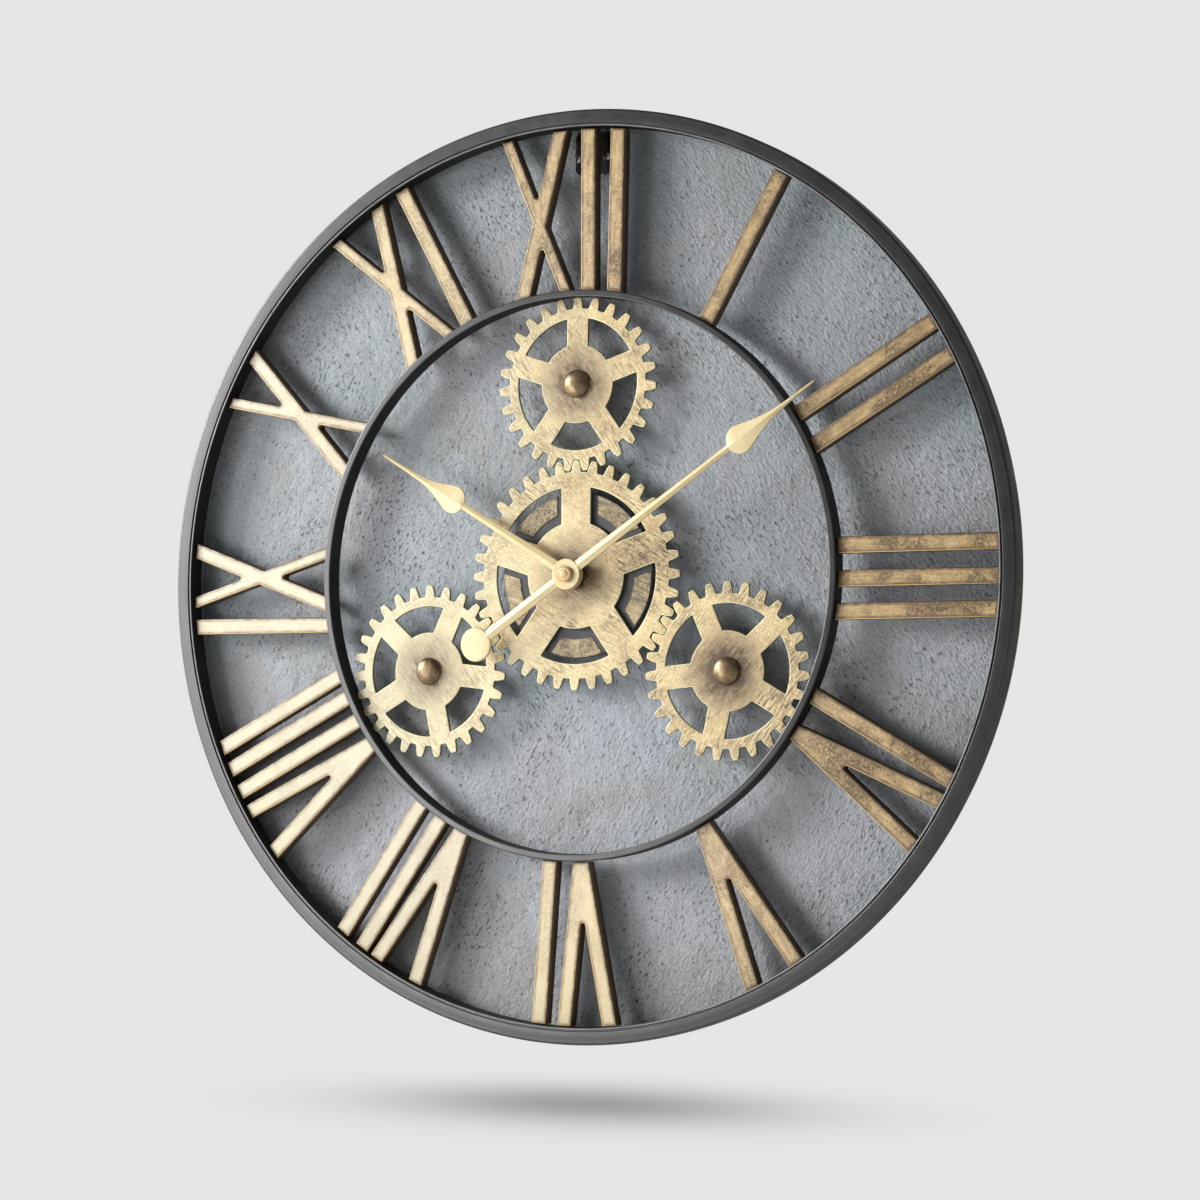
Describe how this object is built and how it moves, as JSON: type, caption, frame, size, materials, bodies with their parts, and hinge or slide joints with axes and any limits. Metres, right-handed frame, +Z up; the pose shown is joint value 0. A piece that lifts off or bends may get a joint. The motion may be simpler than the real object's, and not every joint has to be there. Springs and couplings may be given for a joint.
{
  "type": "gear wall clock",
  "caption": "Round wall clock with an open double-ring dial, raised Roman numerals, meshing display gears round the centre, long pointed hands and a battery movement behind a textured panel.",
  "frame": {"origin": "centre of the bounding box, on the axis of the hands", "axes": "+Z up towards the twelve, +X to the right seen from the front, +Y back towards the wall, so the dial faces -Y"},
  "size_m": [0.6, 0.0534, 0.6],
  "materials": {
    "black_paint": "satin",
    "antique_gold": "satin",
    "gear_gold": "satin",
    "hand_gold": "satin",
    "aged_brass": "satin",
    "plaster_board": "matte",
    "black_plastic": "matte",
    "white_plastic": "satin",
    "steel": "satin",
    "rubber": "matte",
    "cell_jacket": "gloss",
    "copper": "satin"
  },
  "bodies": {
    "frame": {"outer_ring": "black_paint", "inner_ring": "black_paint", "back_board": "plaster_board", "numeral_one_i": "antique_gold", "numeral_two_i_1": "antique_gold", "numeral_two_i_2": "antique_gold", "numeral_three_i_1": "antique_gold", "numeral_three_i_2": "antique_gold", "numeral_three_i_3": "antique_gold", "numeral_four_i": "antique_gold", "numeral_four_v": "antique_gold", "numeral_five_v": "antique_gold", "numeral_six_v": "antique_gold", "numeral_six_i": "antique_gold", "numeral_seven_v": "antique_gold", "numeral_seven_i_1": "antique_gold", "numeral_seven_i_2": "antique_gold", "numeral_eight_v": "antique_gold", "numeral_eight_i_1": "antique_gold", "numeral_eight_i_2": "antique_gold", "numeral_eight_i_3": "antique_gold", "numeral_nine_i": "antique_gold", "numeral_nine_x": "antique_gold", "numeral_ten_x": "antique_gold", "numeral_eleven_x": "antique_gold", "numeral_eleven_i": "antique_gold", "numeral_twelve_x": "antique_gold", "numeral_twelve_i_1": "antique_gold", "numeral_twelve_i_2": "antique_gold", "rim_tab": "black_paint", "tab_screw_left": "steel", "tab_screw_right": "steel", "top_gear_pin": "aged_brass", "left_gear_pin": "aged_brass", "right_gear_pin": "aged_brass", "top_gear_bush": "black_plastic", "left_gear_bush": "black_plastic", "right_gear_bush": "black_plastic", "centre_disc": "gear_gold", "bush_nut": "aged_brass", "movement_case": "black_plastic", "movement_cover": "black_plastic", "battery_cell": "cell_jacket", "stepper_coil": "copper", "hanger_plate": "steel", "hanger_screw_left": "steel", "hanger_screw_right": "steel", "wall_bumper_left": "rubber", "wall_bumper_right": "rubber"},
    "minute": {"minute_hand": "hand_gold", "minute_arbor": "aged_brass", "hand_nut": "aged_brass", "set_knob": "white_plastic"},
    "hour": {"hour_hand": "hand_gold", "hour_pipe": "white_plastic"},
    "motion": {"motion_wheel": "white_plastic"},
    "centre_wheel": {"centre_gear": "gear_gold"},
    "top_wheel": {"top_gear": "gear_gold"},
    "left_wheel": {"left_gear": "gear_gold"},
    "right_wheel": {"right_gear": "gear_gold"}
  },
  "joints": [
    {"name": "minute_turn", "type": "hinge", "parent": "frame", "child": "minute", "pos_m": [0, 0, 0], "axis": [0, 1, 0], "continuous": true},
    {"name": "hour_turn", "type": "hinge", "parent": "frame", "child": "hour", "pos_m": [0, 0, 0], "axis": [0, 1, 0], "continuous": true},
    {"name": "motion_turn", "type": "hinge", "parent": "frame", "child": "motion", "pos_m": [0.01018, 0, 0.01018], "axis": [0, 1, 0], "continuous": true},
    {"name": "centre_gear_turn", "type": "hinge", "parent": "frame", "child": "centre_wheel", "pos_m": [0, 0, 0], "axis": [0, 1, 0], "continuous": true},
    {"name": "top_gear_turn", "type": "hinge", "parent": "frame", "child": "top_wheel", "pos_m": [0, 0, 0.1235], "axis": [0, 1, 0], "continuous": true},
    {"name": "left_gear_turn", "type": "hinge", "parent": "frame", "child": "left_wheel", "pos_m": [-0.10695, 0, -0.06175], "axis": [0, 1, 0], "continuous": true},
    {"name": "right_gear_turn", "type": "hinge", "parent": "frame", "child": "right_wheel", "pos_m": [0.10695, 0, -0.06175], "axis": [0, 1, 0], "continuous": true}
  ],
  "couplings": [
    {"joint": "hour_turn", "follows": "minute_turn", "ratio": 0.083333},
    {"joint": "motion_turn", "follows": "minute_turn", "ratio": -0.33333},
    {"joint": "top_gear_turn", "follows": "centre_gear_turn", "ratio": -1.3333},
    {"joint": "left_gear_turn", "follows": "centre_gear_turn", "ratio": -1.3333},
    {"joint": "right_gear_turn", "follows": "centre_gear_turn", "ratio": -1.3333}
  ]
}
